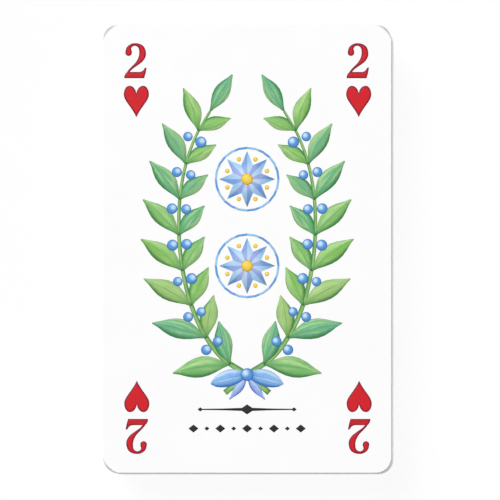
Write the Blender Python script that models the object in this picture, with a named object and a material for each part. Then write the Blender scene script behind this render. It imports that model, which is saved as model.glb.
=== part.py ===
"""A deck of playing cards, squared up by hand and lying face up, with one object for each card.

Metres, +Z up. The origin is under the middle of the deck, on the surface that it lies on. +Y points
towards the top edge of the cards and +Z out of their faces.
"""

import math
import random

import bmesh
import bpy

# Driving dimensions, in metres
CARD_WIDTH = 0.05715
CARD_LENGTH = 0.0889
CARD_THICKNESS = 0.000285
CORNER_RADIUS = 0.0030
AIR_GAP = 0.00002  # the air left between one card and the next in a loose deck
FAN_PIVOT_INSET = 0.014  # from the cards' bottom edge up to the point that a thumb pins for a fan

# How far a card may lie from true in a deck that is squared up by hand
SIDE_SLIP = 0.00032
END_SLIP = 0.00026
SKEW = math.radians(0.10)
SHUFFLE_SEED = 1157  # the same faults on every run

CORNER_SEGMENTS = 6

# The coated white stock, as linear colour
STOCK_COLOUR = (0.93, 0.93, 0.92, 1.0)
STOCK_ROUGHNESS = 0.45
STOCK_METALLIC = 0.0

RANKS = (
    "ace", "two", "three", "four", "five", "six", "seven",
    "eight", "nine", "ten", "jack", "queen", "king",
)
SUITS = ("hearts", "clubs", "diamonds", "spades")
JOKERS = ("joker_red", "joker_black")


def clear_scene():
    """Removes every object that the scene starts with."""
    for item in list(bpy.data.objects):
        bpy.data.objects.remove(item, do_unlink=True)


def deck_order():
    """Card names from the bottom of the deck to its top: suit by suit, cut once after the first ace."""
    from_the_top = [f"{rank}_of_{suit}" for suit in SUITS for rank in RANKS]
    from_the_top.extend(JOKERS)
    from_the_top.append(from_the_top.pop(0))
    return from_the_top[::-1]


def card_stock():
    """White paper stock, coated to a soft sheen on both sides."""
    material = bpy.data.materials.new("card_stock")
    material.use_nodes = True
    shader = material.node_tree.nodes["Principled BSDF"]
    shader.inputs["Base Color"].default_value = STOCK_COLOUR
    shader.inputs["Roughness"].default_value = STOCK_ROUGHNESS
    shader.inputs["Metallic"].default_value = STOCK_METALLIC
    return material


def card_blank(material):
    """The sheet that every card is cut to: a round-cornered rectangle, raised to the card's thickness.

    Its origin lies on its underside, at the point that a fan turns about.
    """
    left = -CARD_WIDTH / 2
    right = CARD_WIDTH / 2
    bottom = -FAN_PIVOT_INSET
    top = CARD_LENGTH - FAN_PIVOT_INSET
    outline = ((left, bottom), (right, bottom), (right, top), (left, top))
    sheet = bmesh.new()
    corners = [sheet.verts.new((x, y, 0)) for x, y in outline]
    sheet.faces.new(corners)
    bmesh.ops.bevel(
        sheet,
        geom=corners,
        offset=CORNER_RADIUS,
        offset_type="OFFSET",
        segments=CORNER_SEGMENTS,
        profile=0.5,
        affect="VERTICES",
    )
    raised = bmesh.ops.extrude_face_region(sheet, geom=sheet.faces[:], use_keep_orig=True)
    face_side = [item for item in raised["geom"] if isinstance(item, bmesh.types.BMVert)]
    bmesh.ops.translate(sheet, verts=face_side, vec=(0, 0, CARD_THICKNESS))
    bmesh.ops.recalc_face_normals(sheet, faces=sheet.faces[:])
    mesh = bpy.data.meshes.new("card_blank")
    sheet.to_mesh(mesh)
    sheet.free()
    mesh.materials.append(material)
    return mesh


def fan_pivot():
    """The upright axis that the fanned cards turn about, as an empty on the deck's resting plane."""
    pivot = bpy.data.objects.new("fan_pivot", None)
    pivot.location = (0, FAN_PIVOT_INSET - CARD_LENGTH / 2, 0)
    bpy.context.scene.collection.objects.link(pivot)
    return pivot


def lie(depth, chance):
    """How a card lies, this many cards below the top one: its slip to the side, slip endwise and turn.

    The top card lies square, at the upper left of the slack, so that cards under it show along its right
    and bottom edges. The others lie anywhere within the slack.
    """
    if depth == 0:
        return -SIDE_SLIP, END_SLIP, 0.0
    side = chance.uniform(-SIDE_SLIP, SIDE_SLIP)
    end = chance.uniform(-END_SLIP, END_SLIP)
    turn = chance.uniform(-SKEW, SKEW)
    return side, end, turn


def place_card(name, layer, faults, blank, pivot):
    """One card of the deck, on its own layer and parented to the fan's pivot, with its faults of lie."""
    side, end, turn = faults
    card = bpy.data.objects.new(name, blank)
    card.parent = pivot
    card.location = (side, end, layer * (CARD_THICKNESS + AIR_GAP))
    card.rotation_euler = (0, 0, turn)
    bpy.context.scene.collection.objects.link(card)
    return card


def main():
    clear_scene()
    blank = card_blank(card_stock())
    pivot = fan_pivot()
    chance = random.Random(SHUFFLE_SEED)
    names = deck_order()
    for layer, name in enumerate(names):
        faults = lie(len(names) - 1 - layer, chance)
        place_card(name, layer, faults, blank, pivot)


main()
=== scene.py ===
# %% [markdown]
# # A deck of playing cards, dressed and lit
#
# The deck is already built as flat solids, one for each card, squared up and lying face up. This script
# loads them, gives the stock its finish, prints every card on both sides, and sets up a floor, lamps and
# a camera straight above the top card. Nothing here moves or reshapes a card.

# %% Load the cards
import math
from collections import namedtuple
from functools import partial

import bpy
import numpy as np
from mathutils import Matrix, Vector
from mathutils.geometry import delaunay_2d_cdt


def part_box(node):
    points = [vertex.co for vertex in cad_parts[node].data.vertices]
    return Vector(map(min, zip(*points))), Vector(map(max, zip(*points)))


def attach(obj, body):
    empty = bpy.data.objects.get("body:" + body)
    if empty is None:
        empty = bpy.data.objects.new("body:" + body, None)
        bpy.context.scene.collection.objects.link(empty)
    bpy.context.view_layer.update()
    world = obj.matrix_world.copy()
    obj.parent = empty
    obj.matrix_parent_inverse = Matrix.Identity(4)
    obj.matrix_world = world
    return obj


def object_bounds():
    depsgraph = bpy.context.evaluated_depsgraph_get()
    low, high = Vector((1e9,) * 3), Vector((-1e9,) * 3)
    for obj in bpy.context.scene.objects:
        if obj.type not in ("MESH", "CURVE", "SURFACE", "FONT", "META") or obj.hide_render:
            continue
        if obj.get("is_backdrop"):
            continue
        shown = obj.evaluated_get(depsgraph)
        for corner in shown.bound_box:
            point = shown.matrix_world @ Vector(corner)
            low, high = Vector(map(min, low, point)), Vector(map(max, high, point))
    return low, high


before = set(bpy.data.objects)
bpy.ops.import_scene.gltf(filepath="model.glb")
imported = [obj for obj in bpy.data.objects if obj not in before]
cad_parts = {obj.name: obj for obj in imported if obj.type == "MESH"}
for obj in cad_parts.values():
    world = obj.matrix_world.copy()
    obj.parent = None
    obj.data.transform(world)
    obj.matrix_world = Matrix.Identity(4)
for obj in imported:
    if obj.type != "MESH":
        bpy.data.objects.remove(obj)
cad_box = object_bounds()
print("cards loaded:", len(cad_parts))

# %% [markdown]
# ## Where each card lies
#
# A deck squared up by hand is never quite true: each card is a hair to one side and a hair turned. A print
# laid out for a true deck would hang over some edges, so each card is measured first. Its middle is the
# middle of its box, and its turn is the direction in which the points of its outline spread furthest.

# %% Measure the cards
MM = 0.001
POINT_DIGITS = 7  # points that agree to so many digits of a metre are one point


def corner_points(name):
    """The card's own points, each once, as rows of x, y, z."""
    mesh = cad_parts[name].data
    flat = np.empty(len(mesh.vertices) * 3, np.float32)
    mesh.vertices.foreach_get("co", flat)
    return np.unique(flat.reshape(-1, 3).round(POINT_DIGITS), axis=0).astype(float)


def card_place(name):
    """Middle of the card's face, and its turn: half the angle whose tangent is minus twice the sum of x * y
    over the sum of y * y less the sum of x * x, for the points about their middle."""
    points = corner_points(name)
    low = points.min(0)
    high = points.max(0)
    middle = (low + high) / 2
    x, y = (points - middle)[:, :2].T
    turn = 0.5 * math.atan2(-2 * (x @ y), y @ y - x @ x)
    return np.array([middle[0], middle[1], high[2]]), turn


cards = sorted(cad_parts, key=lambda name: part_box(name)[0].z)
places = {name: card_place(name) for name in cards}
top_card = cards[-1]
top_low, top_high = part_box(top_card)
bottom_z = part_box(cards[0])[0].z
thickness = top_high.z - top_low.z
pitch = (top_low.z - bottom_z) / (len(cards) - 1)
half_width = (top_high.x - top_low.x) / 2 / MM
half_length = (top_high.y - top_low.y) / 2 / MM
print(f"card {2 * half_width:.2f} x {2 * half_length:.2f} mm, {thickness / MM:.3f} mm thick")
print(f"one card every {pitch / MM:.3f} mm, {top_card} on top")

# %% [markdown]
# ## Nodes and colours
#
# Every finish below is a small tree of nodes. One function adds a node, gives it its settings and fills its
# sockets, so that each finish reads as a list of steps. Colours are written as sRGB hex values, as a paint
# chart gives them, and turned to the linear values that the renderer works in.


# %% Helpers for finishes
def linear(hex_colour):
    """sRGB hex to linear RGBA: a channel c is c / 12.92 up to 0.04045, else ((c + 0.055) / 1.055) ^ 2.4."""
    srgb = np.array([int(hex_colour[i : i + 2], 16) for i in (1, 3, 5)]) / 255
    low = srgb / 12.92
    high = ((srgb + 0.055) / 1.055) ** 2.4
    return (*np.where(srgb <= 0.04045, low, high).tolist(), 1.0)


def plug(node, inputs):
    """Fills sockets of a node: with a value, a hex colour, another node's output socket, or another node,
    which stands for its first output in use."""
    for key, value in inputs.items():
        if isinstance(value, bpy.types.Node):
            value = next(socket for socket in value.outputs if socket.enabled)
        if isinstance(value, bpy.types.NodeSocket):
            node.id_data.links.new(value, node.inputs[key])
        else:
            node.inputs[key].default_value = linear(value) if isinstance(value, str) else value


def add_node(tree, kind, inputs=None, **settings):
    """Adds one node of that kind to the tree, gives it its settings and fills its sockets."""
    made = tree.nodes.new(f"ShaderNode{kind}")
    for key, value in settings.items():
        setattr(made, key, value)
    plug(made, inputs or {})
    return made


def new_finish(name, sockets, paint, *colours):
    """A material whose shader has these constant sockets. Paint adds its nodes in these colours and returns
    what fills the shader's other sockets."""
    material = bpy.data.materials.new(name)
    material.use_nodes = True
    tree = material.node_tree
    painted = paint(partial(add_node, tree), *colours)
    plug(tree.nodes["Principled BSDF"], {**sockets, **painted})
    return material


print("half of white in linear light:", round(linear("#808080")[0], 3))

# %% [markdown]
# ## Card stock
#
# A card is two sheets of bleached paper glued together with a dark paste, which stops light from shining
# through, and coated with a clear water-based varnish. From the front that is an even white with a soft
# sheen. The cut edge is uncoated: a little creamier and rougher, with the grey line of the paste along its
# middle, and no two cards have quite the same tone there. Each card could have a material of its own. One
# serves them all here: the normal tells face from edge, and the height in the deck tells which card it is
# and how far through that card the point lies.

# %% Coated card stock
FACE_WHITE = "#FDFDFD"
FACE_SHADE = "#F9F9F9"
EDGE_WHITE = "#FAF9F6"
EDGE_SHADE = "#EFEDE8"
PASTE_GREY = "#DAD8D4"
STOCK_SOCKETS = {"IOR": 1.47, "Specular IOR Level": 0.35}
FACE_ROUGHNESS = 0.45
EDGE_ROUGHNESS = 0.85
FACE_TILT = 0.5  # a face's normal points more than this up or down
MOTTLE_MM = 7.0
MOTTLE = {"Scale": 1 / (MOTTLE_MM * MM), "Detail": 3.0}
GRAIN_MM = 0.7  # real coating grain is finer; this is the finest that shows
GRAIN = {"Scale": 1 / (GRAIN_MM * MM), "Detail": 2.0}
GRAIN_DEPTH_MM = 0.0012
PASTE_SHARE = 0.16  # half the width of the paste's line, as a share of the way from card to card
PASTE_FADE = {"From Min": PASTE_SHARE, "From Max": PASTE_SHARE / 3}


def coated_stock(add):
    """White on the faces; on the cut edges a cream that changes from card to card, with a grey middle."""
    place = add("TexCoord").outputs
    normal = add("SeparateXYZ", {0: place["Normal"]}).outputs
    upright = add("Math", {0: normal["Z"]}, operation="ABSOLUTE")
    is_face = add("Math", {0: upright, 1: FACE_TILT}, operation="GREATER_THAN")
    point = add("SeparateXYZ", {0: place["Object"]}).outputs
    height = add("Math", {0: point["Z"], 1: bottom_z}, operation="SUBTRACT")
    layer = add("Math", {0: height, 1: pitch}, operation="DIVIDE")
    which = add("Math", {0: layer}, operation="FLOOR")
    through = add("Math", {0: layer}, operation="FRACT")
    from_middle = add("Math", {0: through, 1: thickness / pitch / 2}, operation="SUBTRACT")
    off_middle = add("Math", {0: from_middle}, operation="ABSOLUTE")
    paste = add("MapRange", {"Value": off_middle, **PASTE_FADE}, interpolation_type="SMOOTHSTEP")
    own_tone = add("TexWhiteNoise", {"W": which}, noise_dimensions="1D")
    edge = add("Mix", {"Factor": own_tone, "A": EDGE_WHITE, "B": EDGE_SHADE}, data_type="RGBA")
    pasted = add("Mix", {"Factor": paste, "A": edge, "B": PASTE_GREY}, data_type="RGBA")
    mottle = add("TexNoise", {"Vector": place["Object"], **MOTTLE})
    face = add("Mix", {"Factor": mottle, "A": FACE_WHITE, "B": FACE_SHADE}, data_type="RGBA")
    colour = add("Mix", {"Factor": is_face, "A": pasted, "B": face}, data_type="RGBA")
    sheen = add("MapRange", {"Value": is_face, "To Min": EDGE_ROUGHNESS, "To Max": FACE_ROUGHNESS})
    grain = add("TexNoise", {"Vector": place["Object"], **GRAIN})
    bump = add("Bump", {"Height": grain, "Distance": GRAIN_DEPTH_MM * MM, "Strength": is_face})
    return {"Base Color": colour, "Roughness": sheen, "Normal": bump}


stock = new_finish("aqueous_coated_card_stock", STOCK_SOCKETS, coated_stock)
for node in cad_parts.values():
    node.data.materials.clear()
    node.data.materials.append(stock)
print("card stock on", len(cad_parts), "cards")

# %% [markdown]
# ## Ink as thin slabs
#
# Printing ink could be painted by a texture. Here each printed shape is real geometry instead, a slab a few
# thousandths of a millimetre thick that lies on the card, because its edges then stay sharp at any size.
# A patch holds one such slab in the card's own millimetres: points, faces, a flat map for washes of colour,
# a tone for each point, and the name of its ink. Where patches cross, the one printed later stands higher,
# so the inks are printed in layers, two thousandths of a millimetre apart.

# %% Patches of ink
Patch = namedtuple("Patch", "points faces uv tone ink")
UNDER_INK = 0.001
LAYER = 0.002
FIRST_LAYER = 1


def open_edges(faces):
    """The directed edges that no neighbouring face runs the other way, which are the sheet's outline."""
    edges = np.concatenate([np.stack([face, np.roll(face, -1, 1)], -1).reshape(-1, 2) for face in faces])
    size = edges.max() + 1
    forward = edges[:, 0] * size + edges[:, 1]
    backward = edges[:, 1] * size + edges[:, 0]
    return edges[~np.isin(forward, backward)]


def slab(flat, faces, ink, layer, uv=None, tone=0.0):
    """A flat sheet raised to a closed slab: its faces at the height of its layer, the same faces turned over
    just above the card, and a wall along each outline edge."""
    count = len(flat)
    low = np.column_stack([flat, np.full(count, UNDER_INK)])
    high = np.column_stack([flat, np.full(count, UNDER_INK + layer * LAYER)])
    rim = open_edges(faces)
    walls = np.column_stack([rim[:, 0], rim[:, 1], rim[:, 1] + count, rim[:, 0] + count])
    tops = [face + count for face in faces]
    unders = [face[:, ::-1] for face in faces]
    mapped = np.tile(np.zeros((count, 2)) if uv is None else uv, (2, 1))
    tones = np.tile(np.broadcast_to(np.asarray(tone, float), (count,)), 2)
    return Patch(np.concatenate([low, high]), [*tops, *unders, walls], mapped, tones, ink)


def turned(points, turn):
    """The points turned about the upright axis: x cos - y sin, and x sin + y cos."""
    x, y, z = points.T
    cos = math.cos(turn)
    sin = math.sin(turn)
    return np.column_stack([x * cos - y * sin, x * sin + y * cos, z])


def moved(patch, turn=0.0, shift=(0.0, 0.0), mirror=1.0):
    """The patch mirrored across X if mirror is -1, then turned about the card's middle and shifted."""
    points = turned(patch.points * (mirror, 1.0, 1.0), turn) + (*shift, 0.0)
    faces = [face[:, ::-1] for face in patch.faces] if mirror < 0 else patch.faces
    return patch._replace(points=points, faces=faces)


print(f"ink lies {UNDER_INK} mm clear of the card, in layers of {LAYER} mm")

# %% [markdown]
# ## Lines drawn with a broad pen
#
# Card numerals are cut in a bold book face with strong contrast: thick down strokes, hairlines between them
# and round ball ends. A font could set them, but it would be one more file to load. So each is drawn as a
# signwriter would draw it, as a few strokes of a pen whose width changes along the way. A stroke is a smooth
# curve through a few points, with half the width laid off on each side. Ink spreads a little as it is pressed
# onto the card, so every stroke gains a hair all round.

# %% Curves and pen strokes
GAIN = 0.05
BALL_SIDES = 18


def through_points(rows, steps):
    """A smooth curve through the rows: between two of them a cubic, whose slope at each is half the way from
    the row before it to the row after it."""
    rows = np.asarray(rows, float)
    padded = np.vstack([2 * rows[0] - rows[1], rows, 2 * rows[-1] - rows[-2]])
    along = np.linspace(0, len(rows) - 1, (len(rows) - 1) * steps + 1)
    start = np.minimum(along.astype(int), len(rows) - 2)
    t = (along - start)[:, None]
    before, here, after, later = (padded[start + k] for k in range(4))
    linear_part = (after - before) * t
    square_part = (2 * before - 5 * here + 4 * after - later) * t**2
    cube_part = (3 * here - before - 3 * after + later) * t**3
    return here + 0.5 * (linear_part + square_part + cube_part)


def pen_sides(rows, steps):
    """Left and right edge of a stroke: the curve plus and minus half its width along its normal."""
    curve = through_points(rows, steps)
    heading = np.gradient(curve[:, :2], axis=0)
    heading /= np.linalg.norm(heading, axis=1)[:, None]
    normal = np.column_stack([-heading[:, 1], heading[:, 0]])
    reach = normal * curve[:, 2:3] / 2
    return curve[:, :2] + reach, curve[:, :2] - reach


def pen(*rows, steps=3):
    """A stroke through rows of x, y and width, as one four-sided outline for each step along it."""
    left, right = pen_sides(np.add(rows, (0, 0, 2 * GAIN)), steps)
    return list(np.stack([right[:-1], right[1:], left[1:], left[:-1]], 1))


def circle(count, start=0.0):
    """That many points at even steps round a circle of radius 1, from the start angle on."""
    angle = start + np.linspace(0, 2 * math.pi, count, endpoint=False)
    return np.column_stack([np.cos(angle), np.sin(angle)])


def ball(x, y, radius):
    """A round dot, as one outline."""
    return [(x, y) + (radius + GAIN) * circle(BALL_SIDES)]


def bar(left, right, low, high):
    """A straight stem or serif, as one outline."""
    x = (left - GAIN, right + GAIN)
    y = (low - GAIN, high + GAIN)
    return [np.array([(x[0], y[0]), (x[1], y[0]), (x[1], y[1]), (x[0], y[1])])]


print("outlines in a stroke through three rows:", len(pen((0, 0, 1), (1, 0, 1), (2, 1, 1))))

# %% [markdown]
# ## From strokes to one sheet of ink
#
# Strokes cross, and crossing slabs at one height would flicker, so they are first merged into one sheet. A
# boolean would join them two at a time, and is made for solids. It is simpler to triangulate all the
# outlines together and to keep the triangles that lie in at least one of them.

# %% Merge strokes
WELD_MM = 0.0005
WHOLE_HULL = 0  # asks for every triangle, also those outside the outlines


def triangulated(points, edges, rings):
    """Points and triangles of a flat net along all edges and rings, and which triangles lie in a ring."""
    corners = [Vector(point) for point in points]
    net, _, triangles, _, _, owners = delaunay_2d_cdt(corners, edges, rings, WHOLE_HULL, WELD_MM)
    in_ring = np.array([len(around) > 0 for around in owners])
    return np.array([tuple(point) for point in net]), np.array(triangles), in_ring


def merged(outlines):
    """Points and triangles of the union of flat outlines."""
    ends = np.cumsum([0, *map(len, outlines)])
    rings = [list(range(a, b)) for a, b in zip(ends[:-1], ends[1:])]
    points, triangles, in_ring = triangulated(np.concatenate(outlines), [], rings)
    return points, triangles[in_ring]


print("triangles in two crossed bars:", len(merged(bar(0, 3, 1, 2) + bar(1, 2, 0, 3))[1]))

# %% [markdown]
# ## The edge of the ink
#
# Ink that is pressed onto a coated card is squeezed outwards and dries a little darker along its edge. A
# shader could search for that edge, but it is quicker when the points tell it. So a second line is drawn
# just inside the outline, and each point carries a tone: 1 on the outline, 0 on the inner line and beyond.

# %% Darken the edge
RIM_MM = 0.4
SHARPEST = 0.5  # the least length of a corner's lean, so that the inner line stays near a sharp corner


def edge_distance(points, starts, ends):
    """Distance from each point to the nearest edge: to the foot of the perpendicular, kept on the edge."""
    along = ends - starts
    offset = points[:, None] - starts
    share = np.clip((offset * along).sum(-1) / (along**2).sum(-1), 0, 1)
    return np.linalg.norm(offset - share[..., None] * along, axis=-1).min(1)


def inside_outline(points, starts, ends):
    """True where a ray to the right of the point crosses the outline an odd number of times."""
    x, y = points[:, 0, None], points[:, 1, None]
    spans = (starts[:, 1] > y) != (ends[:, 1] > y)
    rise = np.where(ends[:, 1] == starts[:, 1], 1, ends[:, 1] - starts[:, 1])
    crossing = starts[:, 0] + (y - starts[:, 1]) * (ends[:, 0] - starts[:, 0]) / rise
    return (spans & (x < crossing)).sum(1) % 2 == 1


def inner_line(flat, rim):
    """The outline's points moved inwards by the rim's width, along the sum of both edges' normals there.
    Returns their numbers, the moved points, and the outline's edges counted among them."""
    run = flat[rim[:, 1]] - flat[rim[:, 0]]
    inward = np.column_stack([-run[:, 1], run[:, 0]]) / np.linalg.norm(run, axis=1)[:, None]
    lean = np.zeros_like(flat)
    np.add.at(lean, rim[:, 0], inward)
    np.add.at(lean, rim[:, 1], inward)
    on_rim, order = np.unique(rim, return_inverse=True)
    length = np.maximum(np.linalg.norm(lean[on_rim], axis=1), SHARPEST)[:, None]
    return on_rim, flat[on_rim] + RIM_MM * lean[on_rim] / length, order.reshape(-1, 2)


def ink_sheet(outlines, ink):
    """One slab of ink in the shape of all the outlines together, with its tone."""
    flat, triangles = merged(outlines)
    rim = open_edges([triangles])
    starts, ends = flat[rim[:, 0]], flat[rim[:, 1]]
    on_rim, inner, edges = inner_line(flat, rim)
    both_lines = np.concatenate([edges, edges + len(on_rim)])
    points, faces, _ = triangulated(np.concatenate([flat[on_rim], inner]), both_lines.tolist(), [])
    faces = faces[inside_outline(points[faces].mean(1), starts, ends)]
    used, faces = np.unique(faces, return_inverse=True)
    points = points[used]
    tone = 1 - np.clip(edge_distance(points, starts, ends) / RIM_MM, 0, 1)
    return slab(points, [faces.reshape(-1, 3)], ink, FIRST_LAYER, tone=tone)


print("points in a sheet of one bar:", len(ink_sheet(bar(0, 3, 1, 2), "red").points))

# %% [markdown]
# ## Numerals: ace to four
#
# The top card carries a bold 2 with a ball end, a swelling bowl, a hairline back to the foot and a foot that
# turns up at its end. The other ranks are drawn in the same hand, about 7 mm high, with the same few widths.
# Each row of a stroke is a place on the numeral and the width of the pen there, in millimetres.

# %% Draw ace to four
THICK = 1.2
HAIR = 0.44
BALL = 0.64
SERIF = 0.36
CAP = 6.9


def stem(middle, low=SERIF / 2, high=CAP - SERIF / 2):
    """A thick upright."""
    return bar(middle - THICK / 2, middle + THICK / 2, low, high)


def foot(left, right):
    """A flat serif on the baseline."""
    return bar(left, right, 0, SERIF)


def draw_ace():
    """A hairline leg and a thick leg, a bar between them and a serif under each."""
    thin_leg = pen((2.3, 6.8, HAIR), (0.75, 0.2, HAIR))
    thick_leg = pen((2.4, 6.9, 1.06), (4.0, 0.2, THICK))
    return thin_leg + thick_leg + bar(1.2, 3.4, 2.05, 2.05 + HAIR) + foot(-0.05, 1.6) + foot(2.9, 5.0)


def draw_two():
    """A ball, one stroke over the bowl and down to the foot, and a foot that turns up at its end."""
    bowl = pen(
        (0.87, 5.3, 1.2), (0.88, 5.86, 0.92), (1.13, 6.32, 0.64), (1.65, 6.67, 0.48), (2.2, 6.74, 0.45),
        (2.81, 6.58, 0.62), (3.25, 6.24, 0.9), (3.53, 5.76, 1.12), (3.64, 5.0, 1.24), (3.54, 4.38, 1.22),
        (3.16, 3.66, 0.98), (2.46, 2.89, 0.6), (1.53, 2.1, 0.37), (0.96, 1.49, 0.35), (0.44, 0.72, 0.38),
    )
    base = [np.array([
        (0.02, 0.05), (3.95, 0.05), (4.24, 1.08), (4.45, 2.18), (4.05, 2.1), (3.88, 1.78), (3.68, 1.55),
        (3.43, 1.39), (3.12, 1.3), (1.0, 1.3), (0.28, 1.04), (-0.02, 0.4),
    ])]
    return bowl + ball(0.86, 5.13, 0.61) + base


def draw_three():
    """Two bowls that meet in a hairline, with a ball at each loose end."""
    upper = pen(
        (0.76, 5.5, 1.18), (0.95, 6.1, 0.85), (1.45, 6.58, 0.53), (2.1, 6.68, 0.5), (2.75, 6.4, 0.89),
        (3.1, 5.7, 1.16), (3.0, 4.9, 1), (2.45, 4.1, 0.59), (1.6, 3.76, HAIR),
    )
    lower = pen(
        (1.6, 3.76, HAIR), (2.3, 3.75, 0.47), (3.05, 3.3, 0.94), (3.45, 2.4, 1.24), (3.4, 1.5, 1.2),
        (2.85, 0.6, 0.83), (2.0, 0.24, 0.54), (1.3, 0.4, 0.59), (0.85, 1.0, 1.06), (0.78, 1.35, 1.3),
    )
    return upper + lower + ball(0.78, 5.35, BALL) + ball(0.78, 1.5, BALL)


def draw_four():
    """A hairline slope, a thick stem, a bar across and a serif."""
    slope = pen((2.65, 6.8, HAIR), (0.3, 2.0, HAIR))
    return slope + stem(2.95, high=CAP) + bar(0.1, 4.5, 1.65, 2.05) + foot(1.75, 4.15)


rank_outlines = {"ace": draw_ace(), "two": draw_two(), "three": draw_three(), "four": draw_four()}
print("ranks drawn:", ", ".join(rank_outlines))

# %% [markdown]
# ## Numerals: five to nine
#
# The round numerals are one or two long strokes that swell down their sides and thin out at top and bottom.
# A nine could have strokes of its own, but in this hand it is a six after half a turn.


# %% Draw five to nine
def draw_five():
    """A flag, a hairline down from it and a bowl that ends in a ball."""
    flag = [np.array([(0.95, 5.8), (3.25, 5.8), (3.5, 6.87), (1.2, 6.7), (0.85, 6.87)])]
    bowl = pen(
        (0.9, 3.4, HAIR), (1.5, 4.05, 0.5), (2.3, 4.2, 0.65), (3.2, 3.6, 1.12), (3.45, 2.3, 1.24),
        (3.1, 0.95, 0.94), (2.2, 0.25, 0.54), (1.4, 0.35, 0.59), (0.85, 0.95, 1.06), (0.78, 1.25, 1.3),
    )
    return flag + pen((1.0, 6.6, HAIR), (0.9, 3.2, HAIR)) + bowl + ball(0.78, 1.4, BALL)


def draw_six():
    """One stroke from a ball at the top, down the thick back and round the lower bowl."""
    loop = pen(
        (3.45, 5.9, 1.18), (3.2, 6.4, 0.78), (2.6, 6.68, 0.5), (1.8, 6.35, 0.73), (1.05, 5.2, 1.12),
        (0.72, 3.6, 1.24), (0.78, 2.2, 1.2), (1.2, 0.8, 0.89), (2.15, 0.24, 0.52), (3.1, 0.75, 0.89),
        (3.5, 2.0, 1.18), (3.2, 3.35, 0.94), (2.3, 4.05, 0.54), (1.5, 3.7, 0.45), (1.05, 2.9, HAIR),
    )
    return loop + ball(3.45, 5.75, BALL)


def draw_seven():
    """A thick bar with a hooked end, and a slope that swells towards its foot."""
    beam = [np.array([
        (0.45, 5.0), (0.75, 5.0), (0.95, 5.55), (1.35, 5.85), (3.9, 5.85), (4.25, 6.3), (4.25, 6.87),
        (0.6, 6.87),
    ])]
    slope = pen((4.05, 6.5, 0.53), (3.1, 4.7, 0.71), (2.35, 2.9, 1.12), (2.0, 1.4, 1.36), (1.95, 0.0, 1.42))
    return beam + slope


def draw_eight():
    """A thick spine from the top to the foot, and a thin stroke that crosses it."""
    spine = pen(
        (2.1, 6.68, 0.5), (1.35, 6.3, 0.89), (1.0, 5.4, 1.18), (1.5, 4.35, 1.18), (2.4, 3.4, 1.18),
        (3.2, 2.4, 1.24), (3.35, 1.5, 1.18), (2.95, 0.6, 0.83), (2.1, 0.24, 0.52),
    )
    back = pen(
        (2.1, 6.68, 0.5), (2.85, 6.35, 0.59), (3.15, 5.5, 0.65), (2.8, 4.6, 0.5), (2.0, 3.8, 0.42),
        (1.15, 2.9, 0.5), (0.75, 1.8, 0.71), (1.2, 0.65, 0.59), (2.1, 0.24, 0.52),
    )
    return spine + back


def draw_nine():
    """A six after half a turn."""
    return [(4.2, CAP) - outline for outline in draw_six()]


rank_outlines |= {"five": draw_five(), "six": draw_six(), "seven": draw_seven()}
rank_outlines |= {"eight": draw_eight(), "nine": draw_nine()}
print("ranks drawn:", ", ".join(rank_outlines))

# %% [markdown]
# ## The ten and the court letters
#
# The ten is the one rank with two numerals, so both are set narrow. Jack, queen and king carry the letters
# that players know them by. The ring of the ten and of the queen is a pen stroke too, whose rows come from
# a formula and not from a list.

# %% Draw ten to king
RING_THIN = 0.42
RING_ROWS = 17


def cap(left, right):
    """A flat serif at the top of a letter."""
    return bar(left, right, CAP - SERIF, CAP)


def draw_ring(middle, half, low, high, side):
    """An upright oval. Its pen goes from thin at its ends to the side's width with the cosine squared."""
    turn = np.linspace(math.pi / 2, 5 * math.pi / 2, RING_ROWS)
    x = middle + half * np.cos(turn)
    y = (low + high) / 2 + (high - low) / 2 * np.sin(turn)
    width = RING_THIN + (side - RING_THIN) * np.cos(turn) ** 2
    return pen(*np.column_stack([x, y, width]), steps=2)


def draw_ten():
    """A narrow one with a flag and a serif, and a narrow ring."""
    flag = pen((0.0, 5.7, 0.35), (0.6, 6.2, 0.53), (0.95, 6.8, 0.35))
    one = flag + bar(0.5, 1.4, 0.1, CAP) + foot(-0.05, 1.95)
    return one + draw_ring(3.6, 1.1, 0.24, 6.66, 0.92)


def draw_jack():
    """A stem with a serif, and a hook that ends in a ball."""
    hook = pen(
        (2.7, 2.2, 1.18), (2.65, 1.25, 1.12), (2.2, 0.5, 0.83), (1.55, 0.23, 0.57), (1.0, 0.55, 0.94),
        (0.82, 1.0, 1.24),
    )
    return hook + stem(2.7, low=2.0) + cap(1.4, 4.0) + ball(0.82, 1.15, BALL)


def draw_queen():
    """A ring with a tail across its foot."""
    tail = pen((1.6, 1.5, HAIR), (2.35, 1.6, 0.71), (3.0, 0.9, 1), (3.6, 0.32, 0.89), (4.4, 0.4, 0.35))
    return draw_ring(2.3, 1.75, 0.75, 6.66, 1.05) + tail


def draw_king():
    """A stem, a hairline arm and a thick leg, with serifs."""
    arm = pen((1.4, 2.75, HAIR), (3.8, 6.6, HAIR))
    leg = pen((2.1, 3.95, 1.12), (3.8, 0.2, 1.24))
    return stem(1.05) + cap(0, 2.1) + foot(0, 2.1) + arm + cap(2.95, 4.6) + leg + foot(2.85, 4.9)


rank_outlines |= {"ten": draw_ten(), "jack": draw_jack(), "queen": draw_queen(), "king": draw_king()}
rank_numbers = {rank: number for number, rank in enumerate(rank_outlines, start=1)}
print("ranks drawn:", rank_numbers)

# %% [markdown]
# ## Hearts and spades
#
# The sign under each numeral is one of the four suits, drawn tall and slim. The heart is two lobes whose
# sides run almost straight to a point, and the spade is a short heart turned over on a flared foot. A pen
# would be the wrong tool for such full shapes. So the outline of the right half is drawn as a few cubic
# curves, and the left half is its mirror image.

# %% Draw hearts and spades
SIGN_HIGH = 6.26
SIGN_HALF = 2.5
LOBE_AT = 1.36
NOTCH = 1.5
BELLY = 1.75
SPADE_LEAF = 5.5
FOOT_SPREAD = 1.25


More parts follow.
